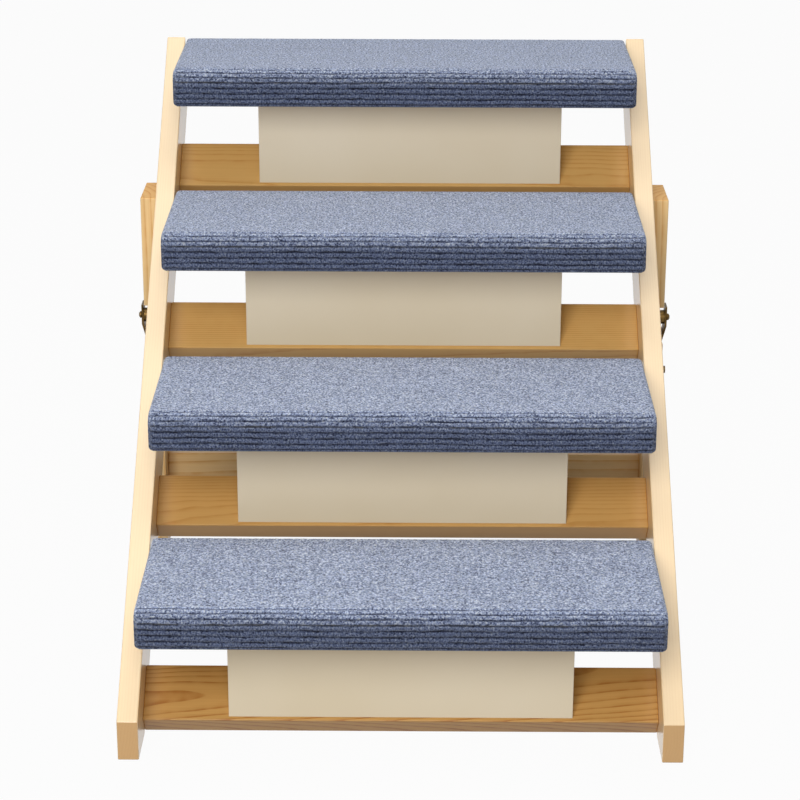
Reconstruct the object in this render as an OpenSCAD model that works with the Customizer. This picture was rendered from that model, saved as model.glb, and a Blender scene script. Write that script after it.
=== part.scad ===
// Folding pet stairs: two sloping pine side rails joined by slats that lie along the slope,
// four carpeted treads that tip up on pins, a hinged support board under each tread,
// and a rear leg frame that swings in and folds at its knees.

/* [Side rails] */
// Width over the two side rails
frame_w = 480; // [420:1:560]
// Thickness of the rails
stock_t = 18; // [15:0.5:22]
// Depth of the rails, across the slope
rail_d = 57; // [54:1:62]
// Height of the plumb cut at the front of each rail
toe_h = 36; // [28:1:42]
// Height of the top of the rails
rail_top = 500; // [490:1:510]

/* [Steps] */
// Height from one tread to the next
rise = 118; // [112:1:122]
// Distance back from one tread to the next
run = 150; // [144:1:156]
// Height of the lowest tread's carpet above the floor
first_tread_top = 144.5; // [138:0.5:150]
// Height of the rail's face above the carpet at the back of a tread
tread_back_dip = 5.5; // [0:0.5:8]

/* [Treads] */
// Depth of a tread, front to back, over the carpet
tread_depth = 160; // [150:1:166]
// Thickness of the tread board
board_t = 27; // [22:1:30]
// Thickness of the carpet
carpet_t = 4; // [3:0.5:5]
// Width of the carpet turned in under the tread
carpet_return = 26; // [20:1:34]
// Gap between a tread's end and the rail
tread_side_gap = 1; // [1:0.25:4]
// Radius of the carpet over the upper front edge of a tread
carpet_nose_r = 12; // [8:0.5:14]
// Radius of the carpet over a tread's other long edges
carpet_edge_r = 5; // [4.5:0.5:8]
// Radius of the carpet at the four upright corners
carpet_corner_r = 6; // [3:0.5:10]
// Radius of the tread's pivot pins
tread_pin_r = 3; // [2:0.5:4]
// Distance of the pivot from the back of the tread
tread_pin_back = 16; // [14:0.5:20]
// Distance of the pivot above the underside of the tread
tread_pin_up = 14; // [12:0.5:18]

/* [Slats] */
// Width of a slat along the slope
slat_w = 52; // [44:1:64]
// Thickness of a slat
slat_t = 22; // [14:0.5:24]
// Depth of the slats' upper faces below the faces of the rails
slat_recess = 35; // [33:0.5:40]
// Distance up the slope from the toe to the lowest slat
slat_start = 18; // [14:1:24]

/* [Support boards] */
// Width of a support board
support_w = 296; // [200:1:360]
// Thickness of a support board
support_t = 9; // [6:0.5:12]
// Distance up the slat from its lower edge to the support board's foot
support_foot_set = 3; // [2:0.5:8]
// Sideways place of the topmost support board
top_support_shift = 5; // [0:1:10]
// Spacing of the two hinges under each support board
support_hinge_span = 200; // [140:1:240]
// Length of a support hinge
support_hinge_l = 34; // [24:1:44]
// Width of a support hinge's leaf
support_leaf_w = 16; // [12:1:20]

/* [Rear legs] */
// Thickness of the legs
leg_t = 16; // [15:0.5:20]
// Depth of the legs, front to back
leg_d = 59; // [50:1:64]
// Distance of the legs' front face behind the rails' toe
leg_y = 450; // [440:1:460]
// Height of the top of the legs
leg_top = 370; // [364:1:374]
// Height of the joint between the upper and lower legs
knee_z = 258; // [250:1:270]
// Height of the pivot bolts
leg_bolt_z = 344; // [340:1:348]
// Distance of the pivot bolts behind the legs' front face
leg_bolt_set = 12; // [10:0.5:14]
// Radius of the pivot bolts
leg_bolt_r = 3; // [2.5:0.5:4]
// Thickness of the washer between rail and leg
washer_t = 1; // [1:0.5:2]
// Depth of the lower leg's rebate beside the knee
knee_rebate = 5.5; // [5:0.5:7]

/* [Cross bars] */
// Thickness of the cross bars
bar_t = 18; // [12:0.5:20]
// Height of the cross bars
bar_h = 45; // [35:1:50]
// Height of the top of the lower cross bar
lower_bar_top = 93; // [80:1:110]
// Height of the top of the upper cross bar
upper_bar_top = 336; // [326:1:340]
// Distance of the cross bars behind the legs' front face
bar_set = 28; // [24:1:34]

/* [Hidden] */
$fn = 48;

// Small clearances and overruns
cut_over = 2;
seat_gap = 0.3;
bore_gap = 0.05;

// Colours of the real materials
pine_face = [0.90, 0.76, 0.53];
pine_slat = [0.78, 0.60, 0.36];
cream = [0.80, 0.74, 0.64];
carpet_blue = [0.42, 0.49, 0.64];
zinc = [0.72, 0.73, 0.75];
old_brass = [0.36, 0.28, 0.16];

// The slope of the rails
slope = atan2(rise, run);
along = [cos(slope), sin(slope)];
into = [sin(slope), -cos(slope)];
rail_len_y = (rail_top - toe_h) / tan(slope);
rail_chord = rail_d / sin(slope);
rail_in = frame_w / 2 - stock_t;

// Tread places in the lowest step
tread_t = board_t + 2 * carpet_t;
tread_w = frame_w - 2 * stock_t - 2 * tread_side_gap;
tread_back = (first_tread_top + tread_back_dip - toe_h) / tan(slope);
tread_front = tread_back - tread_depth;
tread_under = first_tread_top - tread_t;
tread_pin = [tread_back - tread_pin_back, tread_under + tread_pin_up];
tread_pin_in_rail = 14;
tread_pin_in_tread = 26;

// The whole part stands centred on its origin
last_step = 3;
mid_y = (tread_front + tread_back + last_step * run) / 2;

// Slat and support board places in the lowest step
slat_foot = [slat_start * along[0] + slat_recess * into[0],
             toe_h + slat_start * along[1] + slat_recess * into[1]];
support_front = slat_foot + support_foot_set * along;
support_back = [support_front[0] + support_t, support_front[1] + support_t * tan(slope)];
support_head = tread_under + carpet_t - seat_gap;
support_head_fall = 1.4;
support_edge_r = 1;

// The butt hinges behind the support boards
leaf_t = 1;
knuckle_r = 2.5;
knuckle_gap = 0.4;
hinge_pin_r = 1.2;
hinge_lift = knuckle_r + seat_gap;
hinge_axis = [support_back[0] + hinge_lift,
              support_back[1] + hinge_lift * (1 + sin(slope)) / cos(slope)];
slat_knuckle_shares = [[0, 0.32], [0.68, 1]];
board_knuckle_shares = [[0.32, 0.68]];
hinge_screw_place_shares = [0.22, 0.78];
hinge_screw_out_share = 0.62;
hinge_screw_r = 1.4;
hinge_screw_l = 7;
hinge_head_r = 2.4;
hinge_head_h = 0.9;

// Slat screws run in from the outer faces of the rails
slat_screw_r = 2;
slat_screw_l = 50;
slat_screw_head_r = 4;
slat_screw_head_h = 3;
screw_spread_share = 0.5;

// Legs stand outside the rails, on washers
leg_in = frame_w / 2 + washer_t;
leg_out = leg_in + leg_t;
leg_back = leg_y + leg_d;
leg_bolt = [leg_y + leg_bolt_set, leg_bolt_z];
bolt_head_r = 5.5;
bolt_head_h = 3.5;
bolt_head_gap = 0.3;
insert_r = 4.5;
insert_l = 13;
washer_r = 8;

// Knee fittings
knee_gap = 1;
knee_pin_back = 19;
knee_pin = [leg_back - knee_pin_back, knee_z - knee_gap - knee_pin_back];
knee_pin_r = 2.5;
knee_pin_stub = 6;
knee_head_r = 3.4;
knee_head_neck_r = 2.4;
knee_head_tip_r = 1.8;
knee_head_hs = [1, 1.2, 1.1];
knee_bush_r = 7;
knee_strap_out = 4.5;
knee_rebate_h = 36;
knee_metal_t = 2;
knee_metal_gap = 0.3;
knee_leaf_r = 11;
knee_flange_d = 36;
knee_flange_edge = 1;
knee_strap_h = 92;
knee_strap_up = 12.5;
knee_strap_recess = 1.5;
knee_strap_w = 16;
knee_strap_joggle = 22.5;
knee_strap_bend_down = 14;
knee_stud_r = 3.7;
knee_stud_h = 7;
knee_stud_down = 76;
knee_screw_r = 1.8;
knee_screw_l = 11;
knee_screw_head_r = 3.4;
knee_screw_head_h = 1.6;
knee_strap_screw_down = [58, 86];
flange_screw_l = 22;
flange_screw_place_shares = [0.25, 0.75];

// Bar screws run in from the outer faces of the legs
bar_screw_r = 2.5;
bar_screw_l = 55;
bar_screw_head_r = 5;
bar_screw_head_h = 3;

// Places a drawing made in the side view: x becomes front to back and y becomes up
module side_plane(x, t) {
    translate([x, -mid_y, 0])
        rotate([90, 0, 90])
            linear_extrude(t) children();
}

// Moves a piece of the lowest step to step n, counted from 0
module step_at(n) {
    translate([0, n * run, n * rise]) children();
}

// A round bar along X from x0 to x1, about a point in the side view
module cross_rod(x0, x1, at, r) {
    translate([min(x0, x1), at[0] - mid_y, at[1]])
        rotate([0, 90, 0])
            cylinder(h = abs(x1 - x0), r = r);
}

// A countersunk screw along +Z, with its head at the origin and an overrun above it for cuts
module screw(l, r, head_r, head_h, over) {
    union() {
        cylinder(h = l, r = r);
        cylinder(h = head_h, r1 = head_r, r2 = r);
        if (over > 0) {
            translate([0, 0, -over]) cylinder(h = over, r = head_r);
        }
    }
}

// Points a screw inwards from an outer face at distance x from the middle
module from_outside(side, x, at) {
    translate([side * x, at[0] - mid_y, at[1]])
        rotate([0, -side * 90, 0]) children();
}

// The side view of a rail: plumb toe, level foot and plumb head
module rail_outline() {
    foot_l = rail_chord - toe_h / tan(slope);
    polygon([[0, 0], [0, toe_h], [rail_len_y, rail_top],
             [rail_len_y, rail_top - rail_d / cos(slope)], [foot_l, 0]]);
}

module rail(side) {
    color(pine_face)
    difference() {
        side_plane(side < 0 ? -frame_w / 2 : rail_in, stock_t) rail_outline();
        for (n = [0 : last_step]) {
            step_at(n) cross_rod(side * (rail_in - cut_over), side * (rail_in + tread_pin_in_rail),
                                 tread_pin, tread_pin_r);
            for (s = [-1, 1]) slat_screw(n, side, s, cut_over);
        }
        cross_rod(side * (frame_w / 2 - insert_l), side * (frame_w / 2 + cut_over),
                  leg_bolt, insert_r);
    }
}

// A slat lies in the plane of the slope, between the rails
module slat(n) {
    color(pine_slat)
    difference() {
        step_at(n)
            side_plane(-rail_in, 2 * rail_in)
                polygon([slat_foot, slat_foot + slat_w * along,
                         slat_foot + slat_w * along + slat_t * into,
                         slat_foot + slat_t * into]);
        for (side = [-1, 1], s = [-1, 1]) slat_screw(n, side, s, 0);
        slat_screws_of_hinges(n, cut_over);
    }
}

// One screw through a rail into the end of slat n
module slat_screw(n, side, s, over) {
    at = slat_foot + slat_w / 2 * (1 + s * screw_spread_share) * along + slat_t / 2 * into;
    step_at(n)
        from_outside(side, frame_w / 2, at)
            screw(slat_screw_l, slat_screw_r, slat_screw_head_r, slat_screw_head_h, over);
}

module slat_screws() {
    color(zinc)
    for (n = [0 : last_step], side = [-1, 1], s = [-1, 1]) slat_screw(n, side, s, 0);
}

// Steel pins, pressed into the rails, on which the treads tip
module tread_pivot_pins() {
    color(zinc)
    for (n = [0 : last_step], side = [-1, 1]) {
        step_at(n)
            cross_rod(side * (tread_w / 2 - tread_pin_in_tread), side * (rail_in + tread_pin_in_rail),
                      tread_pin, tread_pin_r);
    }
}

// The section of a tread, set in all round by the given amount, with its nose at the upper front
module tread_section(set_in) {
    d = tread_depth - 2 * set_in;
    t = tread_t - 2 * set_in;
    nose_r = carpet_nose_r - set_in;
    edge_r = carpet_edge_r - set_in;
    translate([tread_front + set_in, tread_under + set_in]) {
        translate([nose_r, t - nose_r]) circle(nose_r);
        for (at = [[d - edge_r, t - edge_r], [d - edge_r, edge_r], [edge_r, edge_r]]) {
            translate(at) circle(edge_r);
        }
        polygon([[0, edge_r], [0, t - nose_r], [nose_r, t], [d - edge_r, t],
                 [d, t - edge_r], [d, edge_r], [d - edge_r, 0], [edge_r, 0]]);
    }
}

// The board inside a tread, with its edges rounded under the carpet
module tread_core() {
    side_plane(carpet_t - tread_w / 2, tread_w - 2 * carpet_t) tread_section(carpet_t);
}

module tread_bores() {
    for (side = [-1, 1]) {
        cross_rod(side * (tread_w / 2 - tread_pin_in_tread - seat_gap),
                  side * (tread_w / 2 + cut_over), tread_pin, tread_pin_r + bore_gap);
    }
}

module tread_board(n) {
    color(pine_slat)
    step_at(n)
    difference() {
        tread_core();
        tread_bores();
    }
}

// Carpet over the top, edges and ends of a board, turned in under it all round
module tread_carpet(n) {
    color(carpet_blue)
    step_at(n)
    difference() {
        intersection() {
            side_plane(-tread_w / 2, tread_w) tread_section(0);
            carpet_plan();
        }
        tread_core();
        tread_bores();
        translate([carpet_return - tread_w / 2, tread_front + carpet_return - mid_y,
                   tread_under - cut_over])
            cube([tread_w - 2 * carpet_return, tread_depth - 2 * carpet_return,
                  carpet_t + 2 * cut_over]);
    }
}

module carpet_plan() {
    w = tread_w - 2 * carpet_corner_r;
    d = tread_depth - 2 * carpet_corner_r;
    translate([0, tread_front + tread_depth / 2 - mid_y, tread_under])
        linear_extrude(tread_t) {
            for (a = [-1, 1], b = [-1, 1]) {
                translate([a * w / 2, b * d / 2]) circle(carpet_corner_r);
            }
            square([tread_w, d], center = true);
            square([w, tread_depth], center = true);
        }
}

// Sideways place of step n's support board
function support_x(n) = n == last_step ? top_support_shift : 0;

// An upright board that stands on the slat and carries the tread above it
module support_board(n) {
    color(cream)
    difference() {
        step_at(n)
            side_plane(support_x(n) - support_w / 2, support_w)
                polygon([support_front, [support_front[0], support_head - support_head_fall],
                         [support_front[0] + support_edge_r, support_head - support_head_fall / 2],
                         [support_back[0], support_head], support_back]);
        board_screws_of_hinges(n, cut_over);
    }
}

// Places a hinge part with its pin on X: y runs out along the leaf and z away from its seat
module hinge_place(n, s, angle) {
    x = support_x(n) + s * support_hinge_span / 2 - support_hinge_l / 2;
    step_at(n)
        translate([x, hinge_axis[0] - mid_y, hinge_axis[1]])
            rotate([angle, 0, 0]) children();
}

// A leaf on its seat, cut away beside the other leaf's knuckles
module leaf(shares) {
    clear = knuckle_r + knuckle_gap;
    translate([0, clear, -hinge_lift])
        cube([support_hinge_l, support_leaf_w - clear, leaf_t]);
    for (k = shares) {
        x = k[0] * support_hinge_l + knuckle_gap / 2;
        w = (k[1] - k[0]) * support_hinge_l - knuckle_gap;
        translate([x, 0, 0]) rotate([0, 90, 0]) cylinder(h = w, r = knuckle_r);
        translate([x, 0, -hinge_lift]) cube([w, clear, leaf_t]);
        translate([x, 0, -knuckle_r]) cube([w, knuckle_r - leaf_t, leaf_t]);
    }
}

// One hinge screw through a leaf into what it lies on
module leaf_screws(over) {
    for (k = hinge_screw_place_shares) {
        translate([k * support_hinge_l, hinge_screw_out_share * support_leaf_w, leaf_t - hinge_lift])
            rotate([180, 0, 0])
                screw(hinge_screw_l, hinge_screw_r, hinge_head_r, hinge_head_h, over);
    }
}

module slat_screws_of_hinges(n, over) {
    for (s = [-1, 1]) hinge_place(n, s, slope) leaf_screws(over);
}

// The board's leaf faces the other way, so it is turned over about its pin
module on_board(n, s) {
    hinge_place(n, s, 90)
        mirror([0, 0, 1]) children();
}

module board_screws_of_hinges(n, over) {
    for (s = [-1, 1]) on_board(n, s) leaf_screws(over);
}

// The leaves on slat n, with the hinge pins fixed in their knuckles
module slat_hinge_leaves(n) {
    color(zinc)
    difference() {
        for (s = [-1, 1]) {
            hinge_place(n, s, slope) {
                union() {
                    leaf(slat_knuckle_shares);
                    rotate([0, 90, 0]) cylinder(h = support_hinge_l, r = hinge_pin_r);
                }
            }
        }
        slat_screws_of_hinges(n, cut_over);
    }
}

module board_hinge_leaves(n) {
    color(zinc)
    difference() {
        for (s = [-1, 1]) on_board(n, s) leaf(board_knuckle_shares);
        for (s = [-1, 1]) {
            hinge_place(n, s, 90)
                translate([-cut_over, 0, 0])
                    rotate([0, 90, 0])
                        cylinder(h = support_hinge_l + 2 * cut_over, r = hinge_pin_r + bore_gap);
        }
        board_screws_of_hinges(n, cut_over);
    }
}

module slat_hinge_screws() {
    color(zinc)
    for (n = [0 : last_step]) slat_screws_of_hinges(n, 0);
}

module board_hinge_screws(n) {
    color(zinc)
    board_screws_of_hinges(n, 0);
}

// Bolts with flat sunk heads, on which the leg frame swings
module leg_pivot_bolts() {
    color(zinc)
    for (side = [-1, 1]) {
        cross_rod(side * (frame_w / 2 - insert_l), side * leg_out, leg_bolt, leg_bolt_r);
        cross_rod(side * (leg_out - bolt_head_h), side * leg_out, leg_bolt, bolt_head_r);
    }
}

module leg_insert_nuts() {
    color(zinc)
    for (side = [-1, 1]) {
        difference() {
            cross_rod(side * (frame_w / 2 - insert_l), side * frame_w / 2, leg_bolt, insert_r);
            cross_rod(side * (frame_w / 2 - insert_l - cut_over),
                      side * (frame_w / 2 + cut_over), leg_bolt, leg_bolt_r);
        }
    }
}

module leg_washers() {
    color(zinc)
    for (side = [-1, 1]) {
        difference() {
            cross_rod(side * frame_w / 2, side * leg_in, leg_bolt, washer_r);
            cross_rod(side * (frame_w / 2 - cut_over), side * (leg_in + cut_over),
                      leg_bolt, leg_bolt_r);
        }
    }
}

module upper_leg(side) {
    color(pine_face)
    difference() {
        side_plane(side < 0 ? -leg_out : leg_in, leg_t)
            translate([leg_y, knee_z + knee_metal_t])
                square([leg_d, leg_top - knee_z - knee_metal_t]);
        cross_rod(side * (leg_in - cut_over), side * (leg_out + cut_over),
                  leg_bolt, leg_bolt_r + bore_gap);
        cross_rod(side * (leg_out - bolt_head_h), side * (leg_out + cut_over),
                  leg_bolt, bolt_head_r + bolt_head_gap);
        for (s = [-1, 1]) bar_screw(upper_bar_top, side, s, cut_over);
        flange_screws(side, 0);
    }
}

// A cross bar spans between the inner faces of the legs
module cross_bar(top) {
    color(pine_face)
    difference() {
        side_plane(-leg_in, 2 * leg_in)
            translate([leg_y + bar_set, top - bar_h])
                square([bar_t, bar_h]);
        for (side = [-1, 1], s = [-1, 1]) bar_screw(top, side, s, 0);
    }
}

module bar_screw(top, side, s, over) {
    at = [leg_y + bar_set + bar_t / 2, top - bar_h / 2 * (1 + s * screw_spread_share)];
    from_outside(side, leg_out, at)
        screw(bar_screw_l, bar_screw_r, bar_screw_head_r, bar_screw_head_h, over);
}

module bar_screws(top) {
    color(zinc)
    for (side = [-1, 1], s = [-1, 1]) bar_screw(top, side, s, 0);
}

// A leaf hangs in the rebate from a flange screwed to the end of the upper leg
module knee_plate(side) {
    leaf_x = leg_out - knee_rebate + knee_metal_gap;
    flange_in = leg_in + knee_flange_edge;
    leaf_top = knee_z + knee_metal_t;
    difference() {
        union() {
            side_plane(side < 0 ? -leaf_x - knee_metal_t : leaf_x, knee_metal_t) {
                translate(knee_pin) circle(knee_leaf_r);
                translate([knee_pin[0] - knee_leaf_r, knee_pin[1]])
                    square([2 * knee_leaf_r, leaf_top - knee_pin[1]]);
            }
            side_plane(side < 0 ? -leaf_x - knee_metal_t : flange_in,
                       leaf_x + knee_metal_t - flange_in)
                translate([leg_back - knee_flange_d, knee_z])
                    square([knee_flange_d, knee_metal_t]);
        }
        cross_rod(side * leg_in, side * (leg_out + cut_over), knee_pin, knee_pin_r + bore_gap);
        flange_screws(side, cut_over);
    }
}

module knee_plates() {
    color(old_brass)
    for (side = [-1, 1]) knee_plate(side);
}

// Screws up through the flange into the upper leg
module flange_screws(side, over) {
    for (k = flange_screw_place_shares) {
        translate([side * (leg_in + leg_out - knee_rebate) / 2,
                   leg_back - knee_flange_d * k - mid_y, knee_z])
            screw(flange_screw_l, knee_screw_r, knee_screw_head_r, knee_screw_head_h, over);
    }
}

module knee_plate_screws() {
    color(old_brass)
    for (side = [-1, 1]) flange_screws(side, 0);
}

// Side view of a lower leg, rounded about the knee pin at its back
module lower_leg_outline() {
    translate([leg_y, 0]) square([knee_pin[0] - leg_y, knee_z - knee_gap]);
    translate([leg_y, 0]) square([leg_d, knee_pin[1]]);
    translate(knee_pin) circle(knee_pin_back);
}

module lower_leg(side) {
    rebate_x = leg_out - knee_rebate;
    strap_x = leg_out - knee_strap_recess;
    color(pine_face)
    difference() {
        side_plane(side < 0 ? -leg_out : leg_in, leg_t) lower_leg_outline();
        side_plane(side < 0 ? -leg_out - cut_over : rebate_x, knee_rebate + cut_over)
            translate([leg_y - cut_over, knee_z - knee_rebate_h])
                square([leg_d + 2 * cut_over, knee_rebate_h + cut_over]);
        side_plane(side < 0 ? -leg_out - cut_over : strap_x, knee_strap_recess + cut_over)
            translate([knee_pin[0] - knee_strap_w / 2, knee_z - knee_strap_h])
                square([knee_strap_w, knee_strap_h]);
        cross_rod(side * (rebate_x - knee_pin_stub), side * (leg_out + cut_over),
                  knee_pin, knee_pin_r);
        strap_screws(side, 0);
        for (s = [-1, 1]) bar_screw(lower_bar_top, side, s, cut_over);
    }
}

// Front view of the strap on the right leg, from its groove out and up past the knee leaf
module strap_outline() {
    low_x = leg_out - knee_strap_recess;
    high_x = leg_out + knee_strap_out;
    bend = knee_z - knee_rebate_h - knee_strap_bend_down;
    top = knee_pin[1] + knee_strap_up;
    polygon([[low_x, knee_z - knee_strap_h], [low_x, bend], [high_x, bend + knee_strap_joggle],
             [high_x, top], [high_x + knee_metal_t, top],
             [high_x + knee_metal_t, bend + knee_strap_joggle], [low_x + knee_metal_t, bend],
             [low_x + knee_metal_t, knee_z - knee_strap_h]]);
}

module knee_strap(side) {
    difference() {
        union() {
            translate([0, knee_pin[0] + knee_strap_w / 2 - mid_y, 0])
                rotate([90, 0, 0])
                    linear_extrude(knee_strap_w)
                        mirror([side < 0 ? 1 : 0, 0]) strap_outline();
            cross_rod(side * (leg_out - knee_strap_recess + knee_metal_t / 2),
                      side * (leg_out - knee_strap_recess + knee_metal_t + knee_stud_h),
                      [knee_pin[0], knee_z - knee_stud_down], knee_stud_r);
        }
        cross_rod(side * leg_in, side * (leg_out + knee_strap_out + knee_metal_t + cut_over),
                  knee_pin, knee_pin_r);
        strap_screws(side, cut_over);
    }
}

module knee_straps() {
    color(old_brass)
    for (side = [-1, 1]) knee_strap(side);
}

module strap_screws(side, over) {
    for (d = knee_strap_screw_down) {
        from_outside(side, leg_out - knee_strap_recess + knee_metal_t, [knee_pin[0], knee_z - d])
            screw(knee_screw_l, knee_screw_r, knee_screw_head_r, knee_screw_head_h, over);
    }
}

module knee_strap_screws() {
    color(old_brass)
    for (side = [-1, 1]) strap_screws(side, 0);
}

// A pin fixed in the strap and the lower leg, with a round head outside
module knee_pins() {
    head_x = leg_out + knee_strap_out + knee_metal_t;
    color(old_brass)
    for (side = [-1, 1]) {
        union() {
            cross_rod(side * (leg_out - knee_rebate - knee_pin_stub), side * head_x,
                      knee_pin, knee_pin_r);
            translate([side * head_x, knee_pin[0] - mid_y, knee_pin[1]])
                rotate([0, side * 90, 0]) knee_head();
        }
    }
}

module knee_head() {
    cylinder(h = knee_head_hs[0], r1 = knee_head_neck_r, r2 = knee_head_r);
    translate([0, 0, knee_head_hs[0]]) cylinder(h = knee_head_hs[1], r = knee_head_r);
    translate([0, 0, knee_head_hs[0] + knee_head_hs[1]])
        cylinder(h = knee_head_hs[2], r1 = knee_head_r, r2 = knee_head_tip_r);
}

// Bushes on the pins, between the plates' leaves and the straps
module knee_bushes() {
    in_x = leg_out - knee_rebate + 2 * knee_metal_gap + knee_metal_t;
    out_x = leg_out + knee_strap_out;
    color(old_brass)
    for (side = [-1, 1]) {
        difference() {
            cross_rod(side * in_x, side * out_x, knee_pin, knee_bush_r);
            cross_rod(side * (in_x - cut_over), side * (out_x + cut_over), knee_pin, knee_pin_r);
        }
    }
}

rail(-1);  // rail_left
rail(1);  // rail_right
slat_screws();
tread_pivot_pins();
leg_pivot_bolts();
leg_insert_nuts();
leg_washers();
for (n = [0 : last_step]) {
    slat(n);
    tread_board(n);
    tread_carpet(n);
    support_board(n);
    slat_hinge_leaves(n);
    board_hinge_leaves(n);
    board_hinge_screws(n);
}
slat_hinge_screws();
upper_leg(-1);  // upper_leg_left
upper_leg(1);  // upper_leg_right
cross_bar(upper_bar_top);  // upper_cross_bar
bar_screws(upper_bar_top);  // upper_bar_screws
knee_plates();
knee_plate_screws();
lower_leg(-1);  // lower_leg_left
lower_leg(1);  // lower_leg_right
cross_bar(lower_bar_top);  // lower_cross_bar
bar_screws(lower_bar_top);  // lower_bar_screws
knee_straps();
knee_strap_screws();
knee_pins();
knee_bushes();
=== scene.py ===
# Folding pet stairs in pine, with four carpeted treads on pins, hinged support boards
# and a folding rear leg frame. Lengths are in metres unless a name ends in mm.

import math
import bpy
import bmesh
from mathutils import Euler, Matrix, Vector, noise


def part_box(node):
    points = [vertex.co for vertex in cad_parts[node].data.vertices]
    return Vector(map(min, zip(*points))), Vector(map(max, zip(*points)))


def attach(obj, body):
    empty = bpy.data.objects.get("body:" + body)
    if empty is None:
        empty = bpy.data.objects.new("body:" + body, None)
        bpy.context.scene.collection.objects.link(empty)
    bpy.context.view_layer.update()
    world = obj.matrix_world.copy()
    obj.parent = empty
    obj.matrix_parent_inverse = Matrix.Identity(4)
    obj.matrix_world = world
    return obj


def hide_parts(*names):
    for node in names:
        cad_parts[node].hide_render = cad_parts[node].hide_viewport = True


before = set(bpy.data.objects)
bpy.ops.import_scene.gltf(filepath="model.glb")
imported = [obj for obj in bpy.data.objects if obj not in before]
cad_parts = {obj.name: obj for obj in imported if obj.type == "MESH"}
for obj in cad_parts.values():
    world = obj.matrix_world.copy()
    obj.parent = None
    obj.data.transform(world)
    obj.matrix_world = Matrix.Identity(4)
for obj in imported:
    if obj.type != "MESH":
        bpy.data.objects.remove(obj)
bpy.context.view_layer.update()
scene = bpy.context.scene

# The camera stands where the photograph's stood: a metre above the floor and two metres in front
# of the stairs' middle, looking 20 degrees down through a long lens.
photo_px = 800
focal_px = 2400
sensor_w_mm = 36
camera_at = Vector((0.0090, -2.0978, 0.9880))
look_down = math.radians(20.09)
look_left = math.radians(0.322)
camera_roll = math.radians(0.165)
camera_far = 20


def photo_camera():
    forward = Vector((-math.sin(look_left) * math.cos(look_down),
                      math.cos(look_left) * math.cos(look_down), -math.sin(look_down)))
    level = Vector((math.cos(look_left), math.sin(look_left), 0))
    up = level.cross(forward)
    right = level * math.cos(camera_roll) + up * math.sin(camera_roll)
    up = right.cross(forward)
    turn = Matrix((right, up, -forward)).transposed().to_4x4()
    data = bpy.data.cameras.new("photo_camera")
    data.sensor_width = sensor_w_mm
    data.lens = sensor_w_mm * focal_px / photo_px
    data.clip_end = camera_far
    camera = bpy.data.objects.new("photo_camera", data)
    camera.matrix_world = Matrix.Translation(camera_at) @ turn
    scene.collection.objects.link(camera)
    scene.camera = camera


photo_camera()
scene.view_settings.view_transform = "Standard"

# The studio: a soft light in front of the stairs, above them and to the left, a weaker one
# overhead, and a pale floor that runs back out of sight, with the stairs' faint shadow on it.
floor_span = 60
floor_white = (0.36, 0.36, 0.36, 1)
floor_glow_share = 0.96
world_light = 0.36
world_seen = (1, 1, 1, 1)
top_light_at = Vector((-0.05, -0.25, 2.6))
top_light_span = 1.4
top_light_watts = 20
front_light_at = Vector((-0.40, -1.9, 1.25))
front_light_span = 1.3
front_light_watts = 33
light_aim = Vector((0, 0, 0.25))


def soft_light(name, place, span, watts):
    data = bpy.data.lights.new(name, "AREA")
    data.shape = "SQUARE"
    data.size = span
    data.energy = watts
    light = bpy.data.objects.new(name, data)
    light.location = place
    light.rotation_euler = (light_aim - place).to_track_quat("-Z", "Y").to_euler()
    scene.collection.objects.link(light)


soft_light("top_light", top_light_at, top_light_span, top_light_watts)
soft_light("front_light", front_light_at, front_light_span, front_light_watts)


def seen_ray(tree):
    """1 for a ray that the camera sees or that a gloss or glass sends out."""
    path = tree.nodes.new("ShaderNodeLightPath")
    seen = path.outputs["Is Camera Ray"]
    for kind in ("Is Glossy Ray", "Is Transmission Ray"):
        either = tree.nodes.new("ShaderNodeMath")
        either.operation = "MAXIMUM"
        tree.links.new(seen, either.inputs[0])
        tree.links.new(path.outputs[kind], either.inputs[1])
        seen = either.outputs[0]
    return seen


def studio_floor():
    bm = bmesh.new()
    bmesh.ops.create_grid(bm, x_segments=1, y_segments=1, size=floor_span / 2)
    mesh = bpy.data.meshes.new("studio_floor")
    bm.to_mesh(mesh)
    bm.free()
    floor = bpy.data.objects.new("studio_floor", mesh)
    scene.collection.objects.link(floor)
    material = bpy.data.materials.new("studio_floor")
    material.use_nodes = True
    tree = material.node_tree
    tree.nodes.clear()
    matt = tree.nodes.new("ShaderNodeBsdfDiffuse")
    matt.inputs["Color"].default_value = floor_white
    glow = tree.nodes.new("ShaderNodeEmission")
    share = tree.nodes.new("ShaderNodeMath")
    share.operation = "MULTIPLY"
    share.inputs[1].default_value = floor_glow_share
    mix = tree.nodes.new("ShaderNodeMixShader")
    out = tree.nodes.new("ShaderNodeOutputMaterial")
    tree.links.new(seen_ray(tree), share.inputs[0])
    tree.links.new(share.outputs[0], mix.inputs[0])
    tree.links.new(matt.outputs[0], mix.inputs[1])
    tree.links.new(glow.outputs[0], mix.inputs[2])
    tree.links.new(mix.outputs[0], out.inputs[0])
    mesh.materials.append(material)


studio_floor()


def studio_air():
    world = bpy.data.worlds.new("studio_air")
    scene.world = world
    world.use_nodes = True
    tree = world.node_tree
    tree.nodes.clear()
    lit = tree.nodes.new("ShaderNodeBackground")
    lit.inputs["Strength"].default_value = world_light
    seen = tree.nodes.new("ShaderNodeBackground")
    seen.inputs["Color"].default_value = world_seen
    mix = tree.nodes.new("ShaderNodeMixShader")
    out = tree.nodes.new("ShaderNodeOutputWorld")
    tree.links.new(seen_ray(tree), mix.inputs[0])
    tree.links.new(lit.outputs[0], mix.inputs[1])
    tree.links.new(seen.outputs[0], mix.inputs[2])
    tree.links.new(mix.outputs[0], out.inputs[0])


studio_air()

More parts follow.
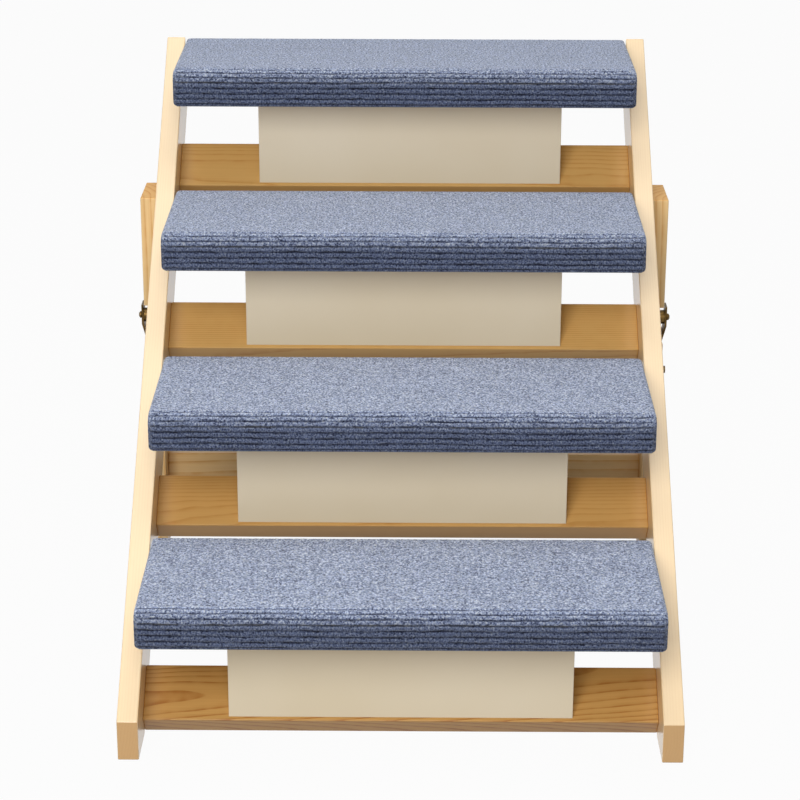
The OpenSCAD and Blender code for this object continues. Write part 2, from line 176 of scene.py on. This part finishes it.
# The timber: planed pine under a thin satin lacquer. Every board is cut from its own place in the
# log, so its rings run round a pith of its own, and its edges are eased with sandpaper.
MM = 0.001
arris = 0.9 * MM
arris_steps = 3
arris_least = 12 * MM
merge_gap = 0.01 * MM
flat_angle = math.radians(1)
sharp_angle = math.radians(25)
step_rise_mm = 118
step_run_mm = 150
rail_slope = math.atan2(step_rise_mm, step_run_mm)
along_x = (0, 0, 0)
along_z = (0, math.radians(90), 0)
along_rail = (0, -rail_slope, math.radians(90))
end_grain_tint = (0.98, 0.86, 0.66, 1)
grain_stretch = (0.12, 1, 1)
sway_scale = 30
sway_reach = 7 * MM
wave_radians = 20
ring_waver = 1.6
ring_waver_scale = 0.2
late_wood_line = [(0.0, 0.08), (0.35, 0.0), (0.70, 0.28), (0.88, 0.95), (0.96, 1.0), (1.0, 0.08)]
year_scale = 75
faint_year = 0.55
fibre_stretch = (9, 700, 700)
fibre_brown = (0.78, 0.70, 0.60, 1)
fibre_share = 0.30
fibre_relief = 0.18
fibre_depth = 0.12 * MM
cloud_scale = 22
cloud_brown = (0.88, 0.78, 0.64, 1)
cloud_share = 0.45
wood_specular = 0.25
lacquer_rough = 0.24
planed_rough = (0.34, 0.46)
sawn_rough = 0.72


def linear(r, g, b):
    """A colour as the eye names it, from 0 to 255, in the shader's own units."""
    def one(v):
        v = v / 255
        return v / 12.92 if v <= 0.04045 else ((v + 0.055) / 1.055) ** 2.4
    return (one(r), one(g), one(b), 1)


def grey(v):
    return (v, v, v, 1)


def new_material(name):
    material = bpy.data.materials.new(name)
    material.use_nodes = True
    tree = material.node_tree
    shader = tree.nodes["Principled BSDF"]
    return material, tree, shader


def node_of(tree, kind, **values):
    node = tree.nodes.new(kind)
    for key, value in values.items():
        setattr(node, key, value)
    return node


def wire(tree, source, target, socket=0, out=0):
    tree.links.new(source.outputs[out], target.inputs[socket])


def feed(tree, value, target, socket, out=0):
    """Wires a node into a socket, or sets the socket where the value is a plain one."""
    if isinstance(value, bpy.types.Node):
        wire(tree, value, target, socket, out)
    else:
        target.inputs[socket].default_value = value


def noise_of(tree, source, scale, detail, out=0):
    node = tree.nodes.new("ShaderNodeTexNoise")
    node.inputs["Scale"].default_value = scale
    node.inputs["Detail"].default_value = detail
    wire(tree, source, node, 0, out)
    return node


def ramp(tree, source, stops, out=0):
    node = tree.nodes.new("ShaderNodeValToRGB")
    while len(node.color_ramp.elements) < len(stops):
        node.color_ramp.elements.new(0.5)
    for element, (place, colour) in zip(node.color_ramp.elements, stops):
        element.position = place
        element.color = colour
    wire(tree, source, node, 0, out)
    return node


def grey_ramp(tree, source, stops, out=0):
    return ramp(tree, source, [(place, grey(v)) for place, v in stops], out)


def multiplied(tree, under, over, share, under_out="Result", share_out=0):
    """A node's colour multiplied by the one over it, to a share. The colour over it and the share
    may each be a node or a plain value."""
    node = node_of(tree, "ShaderNodeMix", data_type="RGBA", blend_type="MULTIPLY")
    feed(tree, share, node, "Factor", share_out)
    wire(tree, under, node, "A", under_out)
    feed(tree, over, node, "B")
    return node


def raise_grain(tree, source, shader, strength, depth):
    relief = tree.nodes.new("ShaderNodeBump")
    relief.inputs["Strength"].default_value = strength
    relief.inputs["Distance"].default_value = depth
    wire(tree, source, relief, "Height")
    wire(tree, relief, shader, "Normal")


def middle(node):
    low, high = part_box(node)
    return (Vector(low) + Vector(high)) / 2


def pine(node, turn, pith, tilt, early, late, ring_mm, figure, gloss, end_tint=end_grain_tint):
    """Lacquered pine. The rings run round a pith that lies beside the board and nearly along it;
    the pale early wood darkens slowly to a thin line of late wood in each ring."""
    material, tree, shader = new_material("pine_" + node)
    place = tree.nodes.new("ShaderNodeTexCoord")
    centred = node_of(tree, "ShaderNodeVectorMath", operation="SUBTRACT")
    centred.inputs[1].default_value = middle(node)
    wire(tree, place, centred, 0, "Object")
    board = node_of(tree, "ShaderNodeMapping", vector_type="TEXTURE")
    board.inputs["Rotation"].default_value = turn
    wire(tree, centred, board)
    log = tree.nodes.new("ShaderNodeMapping")
    log.inputs["Location"].default_value = (0, pith[0], pith[1])
    log.inputs["Rotation"].default_value = (0, tilt[0], tilt[1])
    wire(tree, board, log)
    squeezed = tree.nodes.new("ShaderNodeMapping")
    squeezed.inputs["Scale"].default_value = grain_stretch
    wire(tree, board, squeezed)
    sway = noise_of(tree, squeezed, sway_scale, 1)
    swayed = node_of(tree, "ShaderNodeVectorMath", operation="MULTIPLY_ADD")
    wire(tree, sway, swayed, 0, "Color")
    swayed.inputs[1].default_value = (0, sway_reach, sway_reach)
    wire(tree, log, swayed, 2)
    rings = node_of(tree, "ShaderNodeTexWave", wave_type="RINGS", rings_direction="X",
                    wave_profile="SAW")
    rings.inputs["Scale"].default_value = math.tau / (wave_radians * ring_mm * MM)
    rings.inputs["Distortion"].default_value = ring_waver
    rings.inputs["Detail"].default_value = 1
    rings.inputs["Detail Scale"].default_value = ring_waver_scale
    wire(tree, swayed, rings)
    late_wood = grey_ramp(tree, rings, late_wood_line)
    year = noise_of(tree, swayed, year_scale, 1)
    strength = grey_ramp(tree, year, [(0.36, faint_year * figure), (0.62, figure)])
    drawn = node_of(tree, "ShaderNodeMath", operation="MULTIPLY")
    wire(tree, late_wood, drawn)
    wire(tree, strength, drawn, 1)
    wood = node_of(tree, "ShaderNodeMix", data_type="RGBA")
    wood.inputs["A"].default_value = early
    wood.inputs["B"].default_value = late
    wire(tree, drawn, wood, "Factor")
    fine = tree.nodes.new("ShaderNodeMapping")
    fine.inputs["Scale"].default_value = fibre_stretch
    wire(tree, board, fine)
    fibre = noise_of(tree, fine, 1, 3)
    fibre_tone = ramp(tree, fibre, [(0.3, fibre_brown), (0.62, grey(1))])
    streak = multiplied(tree, wood, fibre_tone, fibre_share * figure)
    cloud = noise_of(tree, squeezed, cloud_scale, 3)
    cloud_tone = ramp(tree, cloud, [(0.32, cloud_brown), (0.68, grey(1))])
    blush = multiplied(tree, streak, cloud_tone, cloud_share * figure)
    facing = node_of(tree, "ShaderNodeVectorMath", operation="DOT_PRODUCT")
    facing.inputs[1].default_value = Euler(turn).to_matrix() @ Vector((1, 0, 0))
    wire(tree, place, facing, 0, "Normal")
    endwise = node_of(tree, "ShaderNodeMath", operation="ABSOLUTE")
    wire(tree, facing, endwise, 0, "Value")
    cut_end = grey_ramp(tree, endwise, [(0.45, 0), (0.70, 1)])
    sawn = multiplied(tree, blush, end_tint, cut_end)
    wire(tree, sawn, shader, "Base Color", "Result")
    smooth, coarse = planed_rough
    planed = grey_ramp(tree, fibre, [(0.2, smooth), (0.8, coarse)])
    rough = node_of(tree, "ShaderNodeMix", data_type="RGBA")
    wire(tree, cut_end, rough, "Factor")
    wire(tree, planed, rough, "A")
    rough.inputs["B"].default_value = grey(sawn_rough)
    wire(tree, rough, shader, "Roughness", "Result")
    shader.inputs["Specular IOR Level"].default_value = wood_specular
    shader.inputs["Coat Weight"].default_value = gloss
    shader.inputs["Coat Roughness"].default_value = lacquer_rough
    raise_grain(tree, fibre, shader, fibre_relief, fibre_depth)
    return material


def link_mesh(name, bm):
    mesh = bpy.data.meshes.new(name)
    bm.to_mesh(mesh)
    bm.free()
    piece = bpy.data.objects.new(name, mesh)
    scene.collection.objects.link(piece)
    return piece


def eased_board(node, body, material):
    """A board of the frame with its edges eased, in place of the node it is cut from."""
    bm = bmesh.new()
    bm.from_mesh(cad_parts[node].data)
    bmesh.ops.remove_doubles(bm, verts=bm.verts, dist=merge_gap)
    bmesh.ops.dissolve_limit(bm, angle_limit=flat_angle, verts=bm.verts, edges=bm.edges)
    edges = [e for e in bm.edges
             if e.calc_length() > arris_least and e.calc_face_angle(0) > sharp_angle]
    bmesh.ops.bevel(bm, geom=edges, offset=arris, segments=arris_steps, profile=0.5,
                    affect="EDGES", material=-1, clamp_overlap=True)
    for face in bm.faces:
        face.smooth = False
    piece = link_mesh(node + "_eased", bm)
    piece.data.materials.append(material)
    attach(piece, body)
    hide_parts(node)


# Side rails: two long boards on edge, cut plumb at the toe and the head. Their rings stand upright,
# so the sloping edges that catch the light show only faint straight lines.
rail_grain = {"tilt": (0.006, 0.004), "early": linear(244, 216, 172), "late": linear(226, 186, 132),
              "ring_mm": 2.6, "figure": 0.22, "gloss": 0.9, "end_tint": (0.70, 0.56, 0.40, 1)}
rail_piths = {"rail_left": (0.085, 0.012), "rail_right": (-0.090, -0.014)}
for node, pith in rail_piths.items():
    eased_board(node, "frame", pine(node, along_rail, pith, **rail_grain))

# Slats: four shorter boards between the rails, screwed through them, of golden, more figured pine.
# The lowest is cut close to the pith, so its rings show as long arches, and the others as fine lines.
slat_gloss = 0.12
golden_early = linear(217, 173, 105)
golden_late = linear(190, 128, 57)
# The two lowest slats are given darker wood than the two upper ones, darkest at the bottom: painted
# shade.
slat_cuts = {
    "slat_1": {"pith": (-0.020, 0.004), "tilt": (0.02, -0.075), "ring_mm": 3.6, "figure": 0.9,
               "early": linear(198, 152, 86), "late": linear(162, 104, 42)},
    "slat_2": {"pith": (-0.016, 0.058), "tilt": (0.01, 0.006), "ring_mm": 1.8, "figure": 0.5,
               "early": linear(205, 159, 93), "late": linear(178, 120, 52)},
    "slat_3": {"pith": (-0.030, -0.046), "tilt": (0.03, 0.02), "ring_mm": 2.0, "figure": 0.6,
               "early": golden_early, "late": golden_late},
    "slat_4": {"pith": (-0.020, 0.040), "tilt": (-0.012, 0.02), "ring_mm": 2.2, "figure": 0.55,
               "early": golden_early, "late": golden_late}}
for node, cut in slat_cuts.items():
    eased_board(node, "frame", pine(node, along_x, gloss=slat_gloss, **cut))

# Rear legs and their cross bars: planed pine, in two halves that fold at the knee. Each half is a
# pair of legs with a bar between them, and the bar's screws go in through the legs.
leg_grain = {"tilt": (0.02, 0.01), "early": linear(242, 208, 152), "late": linear(222, 168, 98),
             "ring_mm": 7, "figure": 0.9, "gloss": 0.12}
leg_cuts = {"upper_leg_left": ("upper_legs", along_z, (0.024, 0.050)),
            "upper_leg_right": ("upper_legs", along_z, (0.030, -0.046)),
            "upper_cross_bar": ("upper_legs", along_x, (0.040, 0.020)),
            "lower_leg_left": ("lower_legs", along_z, (0.036, 0.038)),
            "lower_leg_right": ("lower_legs", along_z, (0.030, -0.044)),
            "lower_cross_bar": ("lower_legs", along_x, (0.050, 0.026))}
for node, (body, turn, pith) in leg_cuts.items():
    eased_board(node, body, pine(node, turn, pith, **leg_grain))

# Tread boards: pine boards that turn on steel pins near their back. Only their undersides show,
# inside the turned-in carpet.
steps = (1, 2, 3, 4)
tread_grain = {"tilt": (0.02, 0.03), "early": linear(229, 182, 108), "late": linear(198, 132, 54),
               "ring_mm": 3.6, "figure": 0.8, "gloss": 0.2}
tread_pith_across = 0.06
tread_pith_shift = 0.01
tread_pith_down = 0.05


def dress(node, material):
    """Gives a node of the frame its finish, and leaves its shape alone."""
    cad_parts[node].data.materials.clear()
    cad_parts[node].data.materials.append(material)


for n in steps:
    node = f"tread_board_{n}"
    pith = (tread_pith_across - tread_pith_shift * n, tread_pith_down)
    dress(node, pine(node, along_x, pith, **tread_grain))

# Support boards: thin smooth boards in pale cream, sealed with a satin finish. Each stands under
# a tread, and folds back onto its slat on two butt hinges.
cream_light = linear(230, 216, 190)
cream_dark = linear(223, 207, 177)
cream_tone_scale = 5
cream_grain_scale = 900
cream_rough = (0.40, 0.48)
cream_relief = 0.08
cream_depth = 0.05 * MM


def cream_board():
    material, tree, shader = new_material("cream_board")
    place = tree.nodes.new("ShaderNodeTexCoord")
    tone = noise_of(tree, place, cream_tone_scale, 3, "Object")
    colour = ramp(tree, tone, [(0.3, cream_dark), (0.7, cream_light)])
    wire(tree, colour, shader, "Base Color")
    grain = noise_of(tree, place, cream_grain_scale, 2, "Object")
    smooth, coarse = cream_rough
    wire(tree, grey_ramp(tree, grain, [(0.3, smooth), (0.7, coarse)]), shader, "Roughness")
    raise_grain(tree, grain, shader, cream_relief, cream_depth)
    return material


cream = cream_board()
for n in steps:
    eased_board(f"support_board_{n}", f"support_{n}", cream)

# Carpet: a needled blue carpet with ribs across it, wrapped over each tread board and turned in
# underneath. The pile is closed on top, and the ribs open where it bends over the long edges.
wrap_t = 4 * MM
turn_in = 26 * MM
nose_r = 12 * MM
nose_steps = 18
edge_r = 5 * MM
edge_steps = 8
end_r = 4 * MM
end_steps = 4
rib_pitch = 5.3 * MM
rib_start = 1.8 * MM
rib_depth = 1.8 * MM
flat_rib_depth = 0.15 * MM
lump_depth = 0.30 * MM
plan_corner_r = 5 * MM
ribs_from = {1: 3 * MM, 2: 2 * MM, 3: 2 * MM, 4: 8 * MM}
ribs_open = 1.5 * MM
shade_from = 0
shade_reach = 22 * MM
cut_x = 2.4 * MM
cut_y = 1.0 * MM
cut_z = 1.0 * MM
cut_slack = 0.001 * MM
corner_reach = 1 * MM
hair = MM / 100
down_facing = -0.9
skin_share = 0.98
under_bend = 0.5
groove_narrowness = 3.4
wide_patch = (0.060, 0.030)
wide_wander_mm = 1.0
fine_patch = (0.006, 0.006)
fine_wander_mm = 0.6
press_patch = (0.013, 0.004)
press_mean = 0.84
press_swing = 0.5
press_full = 1.1
lump_size = 0.0026
tread_seed = 3.7
fine_seed = 9
press_seed = 20


def cut_across(bm, axis, places):
    """Cuts the whole mesh square to an axis at each place."""
    normal = Vector((0, 0, 0))
    normal[axis] = 1
    for place in places:
        bmesh.ops.bisect_plane(bm, geom=bm.verts[:] + bm.edges[:] + bm.faces[:], dist=cut_slack,
                               plane_co=normal * place, plane_no=normal)


def evenly(low, high, step):
    count = max(1, round((high - low) / step))
    return [low + (high - low) * k / count for k in range(1, count)]


def carpet_blank(size):
    """The plain outer skin for one tread, centred on the origin, cut fine enough for its ribs and
    open below, inside its turned-in edges."""
    half = size / 2
    bm = bmesh.new()
    bmesh.ops.create_cube(bm, size=1)
    bmesh.ops.scale(bm, vec=size, verts=bm.verts)
    long_edges = [e for e in bm.edges if abs(e.verts[0].co.x - e.verts[1].co.x) > half.x]
    nose = [e for e in long_edges if e.verts[0].co.y < 0 < e.verts[0].co.z]
    others = [e for e in long_edges if e not in nose]
    bmesh.ops.bevel(bm, geom=others, offset=edge_r, segments=edge_steps, profile=0.5,
                    affect="EDGES", material=-1)
    nose = [e for e in bm.edges if abs(e.verts[0].co.x - e.verts[1].co.x) > half.x
            and e.verts[0].co.y < corner_reach - half.y and e.verts[0].co.z > half.z - corner_reach]
    bmesh.ops.bevel(bm, geom=nose, offset=nose_r, segments=nose_steps, profile=0.5,
                    affect="EDGES", material=-1)
    end_edges = [e for e in bm.edges if abs(abs(e.verts[0].co.x) - half.x) < hair
                 and abs(e.verts[0].co.x - e.verts[1].co.x) < hair]
    bmesh.ops.bevel(bm, geom=end_edges, offset=end_r, segments=end_steps, profile=0.5,
                    affect="EDGES", material=-1)
    window = Vector((half.x - turn_in, half.y - turn_in, 0))
    for axis, rim, step in ((0, end_r, cut_x), (1, edge_r, cut_y)):
        cut_across(bm, axis, (-window[axis], window[axis]))
        cut_across(bm, axis, evenly(-window[axis], window[axis], step))
        cut_across(bm, axis, evenly(-half[axis] + rim, -window[axis], step))
        cut_across(bm, axis, evenly(window[axis], half[axis] - rim, step))
    cut_across(bm, 2, evenly(-half.z + edge_r, half.z - edge_r, cut_z))
    below = []
    for face in bm.faces:
        centre = face.calc_center_median()
        if face.normal.z < down_facing and centre.z < -half.z + hair:
            if abs(centre.x) < window.x and abs(centre.y) < window.y:
                below.append(face)
    bmesh.ops.delete(bm, geom=below, context="FACES")
    return bm


def extruded_rim(bm, rim):
    """Extrudes a rim of edges, and gives its new free edges and its new corners."""
    made = bmesh.ops.extrude_edge_only(bm, edges=rim)["geom"]
    corners = [v for v in made if isinstance(v, bmesh.types.BMVert)]
    free = [e for e in made if isinstance(e, bmesh.types.BMEdge) and e.is_boundary]
    return free, corners


def add_inner_skin(bm, size):
    """Lines the wrap with the skin that lies on the board, and walls its window."""
    half = size / 2
    inner = half - Vector((wrap_t, wrap_t, wrap_t))
    rim, raised = extruded_rim(bm, [e for e in bm.edges if e.is_boundary])
    bmesh.ops.translate(bm, vec=(0, 0, wrap_t), verts=raised)
    rim, spread = extruded_rim(bm, rim)
    for v in spread:
        v.co.x *= inner.x / (half.x - turn_in)
        v.co.y *= inner.y / (half.y - turn_in)
    rim, top = extruded_rim(bm, rim)
    for v in top:
        v.co.z = inner.z
    bmesh.ops.contextual_create(bm, geom=rim)
    front = [e for e in rim if e.is_valid and max(v.co.y for v in e.verts) < hair - inner.y]
    bmesh.ops.bevel(bm, geom=front, offset=nose_r - wrap_t, segments=edge_steps, profile=0.5,
                    affect="EDGES", material=-1, clamp_overlap=True)
    bmesh.ops.recalc_face_normals(bm, faces=bm.faces)


def along_section(y, z, half):
    """How far round the section a place lies, counted from where the front nose meets the top
    and falling towards the front."""
    top_r = nose_r if y < 0 else edge_r
    quarter = math.pi / 2
    upright = 2 * half.z - top_r - edge_r
    if abs(y) <= half.y - (top_r if z > 0 else edge_r):
        if z > 0:
            return y + half.y - nose_r
        return -(nose_r + edge_r) * quarter - upright - (y + half.y - edge_r)
    side = 1 if y > 0 else -1
    start = 2 * half.y - nose_r - edge_r if side > 0 else 0
    if edge_r - half.z <= z <= half.z - top_r:
        return start + side * (top_r * quarter + half.z - top_r - z)
    if z > 0:
        angle = math.atan2(abs(y) - half.y + top_r, z - half.z + top_r)
        return start + side * top_r * angle
    angle = math.atan2(abs(y) - half.y + edge_r, -z - half.z + edge_r)
    return start + side * ((top_r + edge_r) * quarter + upright - edge_r * angle)


def ramped(value, low, high):
    return min(1, max(0, (value - low) / (high - low)))


def noise_at(x, s, patch, seed):
    return noise.noise(Vector((x / patch[0], s / patch[1], seed)))


def rib_carpet(bm, size, n):
    """Presses the ribs and the pile's lumps into the outer skin, always inwards. The ribs are open
    from a little behind the nose down to the front's foot, and over the back edge."""
    half = size / 2
    seed = n * tread_seed
    inner = half - Vector((wrap_t, wrap_t, wrap_t)) * skin_share
    back_edge = 2 * half.y - nose_r - edge_r
    # This layer masks painted shade in the bottoms of the ribs.
    painted_groove_shade_layer = bm.verts.layers.float.new("groove")
    # This layer masks painted shade on the front face and over the back edge.
    bend_layer = bm.verts.layers.float.new("bend")
    bm.normal_update()
    moves = []
    for v in bm.verts:
        x, y, z = v.co
        if abs(x) < inner.x and abs(y) < inner.y and abs(z) < inner.z:
            continue
        over_board = abs(x) < inner.x + hair and abs(y) < inner.y + hair
        if over_board and -half.z + hair < z < 0:
            continue
        s = along_section(y, z, half)
        bent = ramped(ribs_from[n] - s, 0, ribs_open) + ramped(s, back_edge, back_edge + ribs_open)
        if z < 0 and abs(y) < half.y - edge_r:
            bent = under_bend
        wander = noise_at(x, s, wide_patch, seed) * wide_wander_mm * MM
        wander += noise_at(x, s, fine_patch, seed + fine_seed) * fine_wander_mm * MM
        wave = math.cos(2 * math.pi * (s + wander + rib_start) / rib_pitch)
        groove = (0.5 + 0.5 * wave) ** groove_narrowness
        press = press_mean + press_swing * noise_at(x, s, press_patch, seed + press_seed)
        force = ramped(press, 0, press_full)
        depth = flat_rib_depth + (rib_depth - flat_rib_depth) * bent
        lump = 0.5 + 0.5 * noise.noise(Vector((x, y, z)) / lump_size)
        end = min(1, (half.x - abs(x)) / end_r)
        inward = depth * groove * force * end + lump_depth * lump
        moves.append((v, v.normal * -inward))
        # Painted shade mask for the rib bottoms.
        v[painted_groove_shade_layer] = groove * bent * force * end
        # Painted shade mask: rising down the front face, and over the back edge.
        if s < 0:
            v[bend_layer] = ramped(-s, shade_from, shade_reach)
        else:
            v[bend_layer] = ramped(s, back_edge, back_edge + edge_r)
    for v, move in moves:
        v.co += move
        corner = Vector((abs(v.co.x) - half.x + plan_corner_r,
                         abs(v.co.y) - half.y + plan_corner_r))
        if min(corner) > 0:
            pull = corner * (1 - max(corner) / corner.length)
            v.co.x -= math.copysign(pull.x, v.co.x)
            v.co.y -= math.copysign(pull.y, v.co.y)


# The pile: blue yarn flecked with pale and dark ends, a little patchy. Painted shade darkens it where
# it bends over the nose and down the front, and over the back edge, and more painted shade darkens it
# down in the ribs.
yarn_blues = [(0.36, linear(54, 62, 92)), (0.45, linear(146, 160, 194)),
              (0.55, linear(190, 203, 233)), (0.66, linear(246, 252, 255))]
tuft_scale = 620
tuft_rough = 0.65
loop_scale = 520
fleck_share = 0.44
patch_scale = 45
patch_share = 0.25
painted_bend_shade = linear(140, 144, 156)
painted_groove_shade = linear(78, 82, 100)
pile_rough = 0.95
pile_sheen = 0.25
pile_sheen_rough = 0.5
pile_specular = 0.15
pile_relief = 0.9
pile_depth = 0.9 * MM


def blue_carpet():
    material, tree, shader = new_material("blue_carpet")
    place = tree.nodes.new("ShaderNodeTexCoord")
    tufts = noise_of(tree, place, tuft_scale, 3, "Object")
    tufts.inputs["Roughness"].default_value = tuft_rough
    loops = node_of(tree, "ShaderNodeTexVoronoi", feature="F1")
    loops.inputs["Scale"].default_value = loop_scale
    wire(tree, place, loops, 0, "Object")
    patches = noise_of(tree, place, patch_scale, 3, "Object")
    yarn = ramp(tree, tufts, yarn_blues)
    loop_shade = grey_ramp(tree, loops, [(0.30, 1), (0.72, 0.25)])
    flecked = multiplied(tree, yarn, loop_shade, fleck_share, under_out=0)
    patch_shade = grey_ramp(tree, patches, [(0.35, 0.74), (0.65, 1)])
    patchy = multiplied(tree, flecked, patch_shade, patch_share)
    # Painted shade over the front face and the back edge of the carpet.
    bend = node_of(tree, "ShaderNodeAttribute", attribute_name="bend")
    bent = multiplied(tree, patchy, painted_bend_shade, bend, share_out="Fac")
    # Painted shade in the bottoms of the ribs.
    groove = node_of(tree, "ShaderNodeAttribute", attribute_name="groove")
    painted_groove_shade_share = grey_ramp(tree, groove, [(0.1, 0), (0.8, 1)], "Fac")
    ribbed = multiplied(tree, bent, painted_groove_shade, painted_groove_shade_share)
    wire(tree, ribbed, shader, "Base Color", "Result")
    shader.inputs["Roughness"].default_value = pile_rough
    shader.inputs["Sheen Weight"].default_value = pile_sheen
    shader.inputs["Sheen Roughness"].default_value = pile_sheen_rough
    shader.inputs["Specular IOR Level"].default_value = pile_specular
    raise_grain(tree, tufts, shader, pile_relief, pile_depth)
    return material


carpet_low, carpet_high = (Vector(v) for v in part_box("tread_carpet_1"))
carpet_size = carpet_high - carpet_low
carpet_cut = carpet_blank(carpet_size)
carpet_blue = blue_carpet()


def carpet_wrap(n):
    bm = carpet_cut.copy()
    rib_carpet(bm, carpet_size, n)
    add_inner_skin(bm, carpet_size)
    bmesh.ops.translate(bm, vec=middle(f"tread_carpet_{n}"), verts=bm.verts)
    for face in bm.faces:
        face.smooth = True
    piece = link_mesh(f"tread_carpet_{n}_wrap", bm)
    piece.data.materials.append(carpet_blue)
    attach(piece, f"tread_{n}")
    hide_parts(f"tread_carpet_{n}")


for n in steps:
    carpet_wrap(n)
carpet_cut.free()

# Fittings: zinc-plated screws, pins, bolts and butt hinges, and folding knees in dark old brass.
# The wood screws are countersunk, and both metals are a little dull and stained.
zinc_nodes = ["slat_screws", "tread_pivot_pins", "leg_pivot_bolts", "leg_insert_nuts",
              "leg_washers", "slat_hinge_screws", "upper_bar_screws", "lower_bar_screws"]
for n in steps:
    zinc_nodes += [f"slat_hinge_leaves_{n}", f"board_hinge_leaves_{n}", f"board_hinge_screws_{n}"]
brass_nodes = ["knee_plates", "knee_plate_screws", "knee_straps", "knee_strap_screws",
               "knee_pins", "knee_bushes"]
stain_scale = 160
metal_relief = 0.2
metal_depth = 0.05 * MM


def plated_metal(name, bright, dull, rough_low, rough_high):
    material, tree, shader = new_material(name)
    place = tree.nodes.new("ShaderNodeTexCoord")
    stain = noise_of(tree, place, stain_scale, 5, "Object")
    wire(tree, ramp(tree, stain, [(0.35, dull), (0.65, bright)]), shader, "Base Color")
    wire(tree, grey_ramp(tree, stain, [(0.3, rough_high), (0.7, rough_low)]), shader, "Roughness")
    shader.inputs["Metallic"].default_value = 1
    raise_grain(tree, stain, shader, metal_relief, metal_depth)
    return material


zinc = plated_metal("zinc_plate", bright=linear(176, 178, 182), dull=linear(128, 130, 136),
                    rough_low=0.28, rough_high=0.45)
old_brass = plated_metal("old_brass", bright=linear(112, 88, 50), dull=linear(70, 54, 30),
                         rough_low=0.30, rough_high=0.52)
for node in zinc_nodes:
    dress(node, zinc)
for node in brass_nodes:
    dress(node, old_brass)
